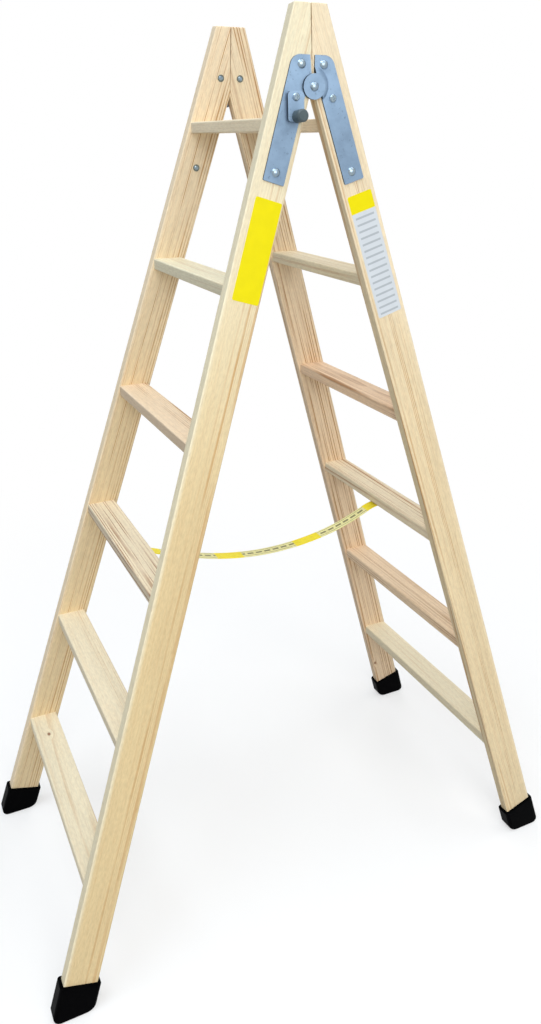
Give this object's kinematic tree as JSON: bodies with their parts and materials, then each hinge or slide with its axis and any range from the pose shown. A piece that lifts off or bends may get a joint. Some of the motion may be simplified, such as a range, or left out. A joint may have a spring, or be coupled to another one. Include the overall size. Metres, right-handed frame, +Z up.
{
  "type": "double stepladder",
  "caption": "Wooden A-frame stepladder with flat treads on both sides, riveted strap hinges at the head, a slack webbing strap between the frames and rubber feet.",
  "frame": {"origin": "on the floor, midway between the four feet", "axes": "+Z up, +X from the left frame to the right frame, +Y from the side with the catch to the far side"},
  "size_m": [1.084, 0.5704, 1.6629],
  "materials": {
    "pine": "planed, clear, satin",
    "zinc_steel": "zinc plated",
    "foot_rubber": "matte moulded",
    "webbing": "woven",
    "knob_plastic": "moulded"
  },
  "bodies": {
    "left_frame": {"stile_near_left": "pine", "stile_far_left": "pine", "tread_left_1": "pine", "tread_left_2": "pine", "tread_left_3": "pine", "tread_left_4": "pine", "tread_left_5": "pine", "tread_left_6": "pine", "hinge_leaf_near_left": "zinc_steel", "hinge_leaf_far_left": "zinc_steel", "leaf_rivets_left": "zinc_steel", "rivet_washers_left": "zinc_steel", "wood_screws_left": "zinc_steel", "strap_washer_left": "zinc_steel", "foot_near_left": "foot_rubber", "foot_far_left": "foot_rubber", "hinge_pins": "zinc_steel", "catch_screw": "zinc_steel", "catch_bush": "zinc_steel", "safety_strap": "webbing"},
    "right_frame": {"stile_near_right": "pine", "stile_far_right": "pine", "tread_right_1": "pine", "tread_right_2": "pine", "tread_right_3": "pine", "tread_right_4": "pine", "tread_right_5": "pine", "tread_right_6": "pine", "hinge_leaf_near_right": "zinc_steel", "hinge_leaf_far_right": "zinc_steel", "leaf_rivets_right": "zinc_steel", "rivet_washers_right": "zinc_steel", "wood_screws_right": "zinc_steel", "strap_washer_right": "zinc_steel", "foot_near_right": "foot_rubber", "foot_far_right": "foot_rubber"},
    "catch": {"catch_plate": "zinc_steel", "catch_knob": "knob_plastic"}
  },
  "joints": [
    {"name": "fold", "type": "hinge", "parent": "left_frame", "child": "right_frame", "pos_m": [0, 0, 1.5425], "axis": [0, 1, 0], "range_deg": [0, 33.7], "deforming": ["safety_strap"]},
    {"name": "catch_swing", "type": "hinge", "parent": "left_frame", "child": "catch", "pos_m": [-0.0345, -0.18344, 1.52649], "axis": [0, -0.9976, 0.0689], "range_deg": [-75, 75]}
  ]
}
